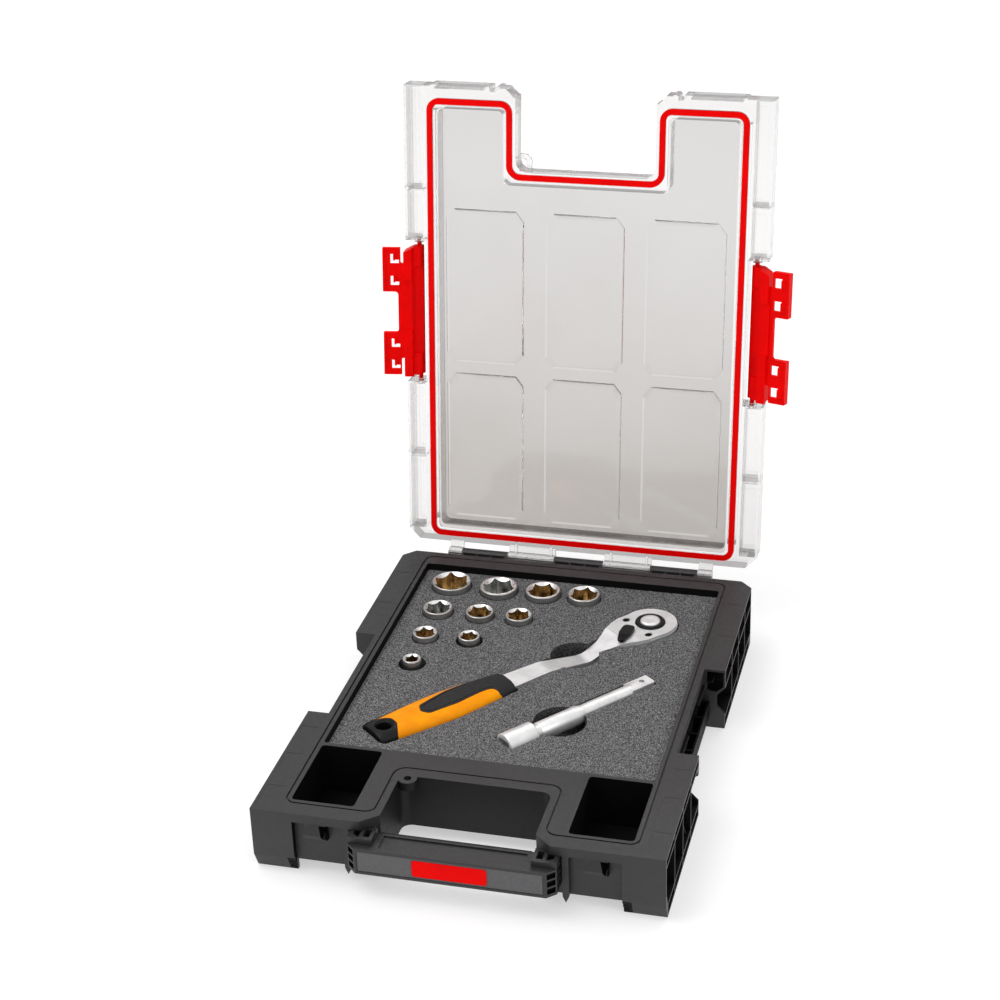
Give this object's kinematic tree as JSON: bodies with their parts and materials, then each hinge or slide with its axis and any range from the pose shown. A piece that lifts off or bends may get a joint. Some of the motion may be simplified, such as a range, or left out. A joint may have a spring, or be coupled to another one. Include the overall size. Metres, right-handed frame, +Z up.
{
  "type": "socket wrench set",
  "caption": "Socket wrench set in a moulded case: clear hinged lid with side latches, foam insert, hexagon sockets, a reversible ratchet and an extension bar.",
  "frame": {"origin": "on the ground, under the middle of the case, on its underside pad", "axes": "+Z up, -Y towards the carry handle at the front, +Y towards the lid's hinge, X across the case"},
  "size_m": [0.3656, 0.5245, 0.4779],
  "materials": {
    "charcoal_plastic": "fine satin moulding texture",
    "clear_plastic": "clear, polished",
    "red_rubber": "satin",
    "red_plastic": "satin gloss",
    "label_plate": "fine texture",
    "foam": "speckled matt foam",
    "chrome": "satin chrome plate",
    "hardened_steel": "dark satin",
    "orange_grip": "satin",
    "black_plastic": "matt"
  },
  "bodies": {
    "case": {"case_base": "charcoal_plastic", "hinge_rod": "chrome", "handle_label_plate": "label_plate", "handle_badge": "red_plastic"},
    "lid": {"lid_cover": "clear_plastic", "lid_gasket": "red_rubber"},
    "left_latch": {"latch_left": "red_plastic"},
    "right_latch": {"latch_right": "red_plastic"},
    "foam": {"foam_insert": "foam"},
    "ratchet": {"ratchet_body": "chrome", "grip_shell": "orange_grip", "grip_inlay": "black_plastic", "grip_end_cap": "black_plastic", "cover_plate": "chrome", "cover_screw_left": "hardened_steel", "cover_screw_right": "hardened_steel", "retaining_ring": "black_plastic"},
    "gear": {"drive_gear": "hardened_steel", "drive_ball": "hardened_steel", "button_spring": "hardened_steel"},
    "button": {"release_button": "chrome"},
    "lever": {"reverse_lever": "black_plastic"},
    "pawl_rocker": {"pawl": "hardened_steel"},
    "extension": {"extension_bar": "chrome", "extension_ball": "hardened_steel"},
    "socket_27mm": {"socket_27mm": "chrome"},
    "socket_24mm": {"socket_24mm": "chrome"},
    "socket_22mm": {"socket_22mm": "chrome"},
    "socket_21mm": {"socket_21mm": "chrome"},
    "socket_19mm": {"socket_19mm": "chrome"},
    "socket_18mm": {"socket_18mm": "chrome"},
    "socket_17mm": {"socket_17mm": "chrome"},
    "socket_15mm": {"socket_15mm": "chrome"},
    "socket_13mm": {"socket_13mm": "chrome"},
    "socket_10mm": {"socket_10mm": "chrome"}
  },
  "joints": [
    {"name": "lid_hinge", "type": "hinge", "parent": "case", "child": "lid", "pos_m": [0, 0.2192, 0.053], "axis": [-1, 0, 0], "range_deg": [-97.3, 0]},
    {"name": "latch_left_hinge", "type": "hinge", "parent": "lid", "child": "left_latch", "pos_m": [-0.1505, 0.25925, 0.27516], "axis": [0, -0.1271, -0.9919], "range_deg": [-78, 22]},
    {"name": "latch_right_hinge", "type": "hinge", "parent": "lid", "child": "right_latch", "pos_m": [0.1505, 0.25925, 0.27516], "axis": [0, 0.1271, 0.9919], "range_deg": [-71, 29]},
    {"name": "foam_lift", "type": "slide", "parent": "case", "child": "foam", "axis": [0, 0, 1], "range_m": [0, 0.07]},
    {"name": "socket_27mm_lift", "type": "slide", "parent": "foam", "child": "socket_27mm", "axis": [0, 0, 1], "range_m": [0, 0.06]},
    {"name": "socket_24mm_lift", "type": "slide", "parent": "foam", "child": "socket_24mm", "axis": [0, 0, 1], "range_m": [0, 0.06]},
    {"name": "socket_22mm_lift", "type": "slide", "parent": "foam", "child": "socket_22mm", "axis": [0, 0, 1], "range_m": [0, 0.06]},
    {"name": "socket_21mm_lift", "type": "slide", "parent": "foam", "child": "socket_21mm", "axis": [0, 0, 1], "range_m": [0, 0.06]},
    {"name": "socket_19mm_lift", "type": "slide", "parent": "foam", "child": "socket_19mm", "axis": [0, 0, 1], "range_m": [0, 0.06]},
    {"name": "socket_18mm_lift", "type": "slide", "parent": "foam", "child": "socket_18mm", "axis": [0, 0, 1], "range_m": [0, 0.06]},
    {"name": "socket_17mm_lift", "type": "slide", "parent": "foam", "child": "socket_17mm", "axis": [0, 0, 1], "range_m": [0, 0.06]},
    {"name": "socket_15mm_lift", "type": "slide", "parent": "foam", "child": "socket_15mm", "axis": [0, 0, 1], "range_m": [0, 0.06]},
    {"name": "socket_13mm_lift", "type": "slide", "parent": "foam", "child": "socket_13mm", "axis": [0, 0, 1], "range_m": [0, 0.06]},
    {"name": "socket_10mm_lift", "type": "slide", "parent": "foam", "child": "socket_10mm", "axis": [0, 0, 1], "range_m": [0, 0.06]},
    {"name": "ratchet_lift", "type": "slide", "parent": "foam", "child": "ratchet", "axis": [0, 0, 1], "range_m": [0, 0.08]},
    {"name": "extension_lift", "type": "slide", "parent": "foam", "child": "extension", "axis": [0, 0, 1], "range_m": [0, 0.05]},
    {"name": "drive_turn", "type": "hinge", "parent": "ratchet", "child": "gear", "pos_m": [0.0837, 0.1288, 0.0365], "axis": [0, 0, 1], "continuous": true},
    {"name": "button_press", "type": "slide", "parent": "gear", "child": "button", "axis": [0, 0, -1], "range_m": [0, 0.0025], "stiffness_N_per_m": 800, "springref_m": -0.001, "deforming": ["button_spring"]},
    {"name": "reverse", "type": "hinge", "parent": "ratchet", "child": "lever", "pos_m": [0.06792, 0.11071, 0.0535], "axis": [0, 0, 1], "range_deg": [-65, 0]},
    {"name": "pawl_rock", "type": "hinge", "parent": "ratchet", "child": "pawl_rocker", "pos_m": [0.06792, 0.11071, 0.0435], "axis": [0, 0, 1], "range_deg": [-10, 0]}
  ],
  "couplings": [
    {"joint": "pawl_rock", "follows": "reverse", "ratio": 0.1538}
  ]
}
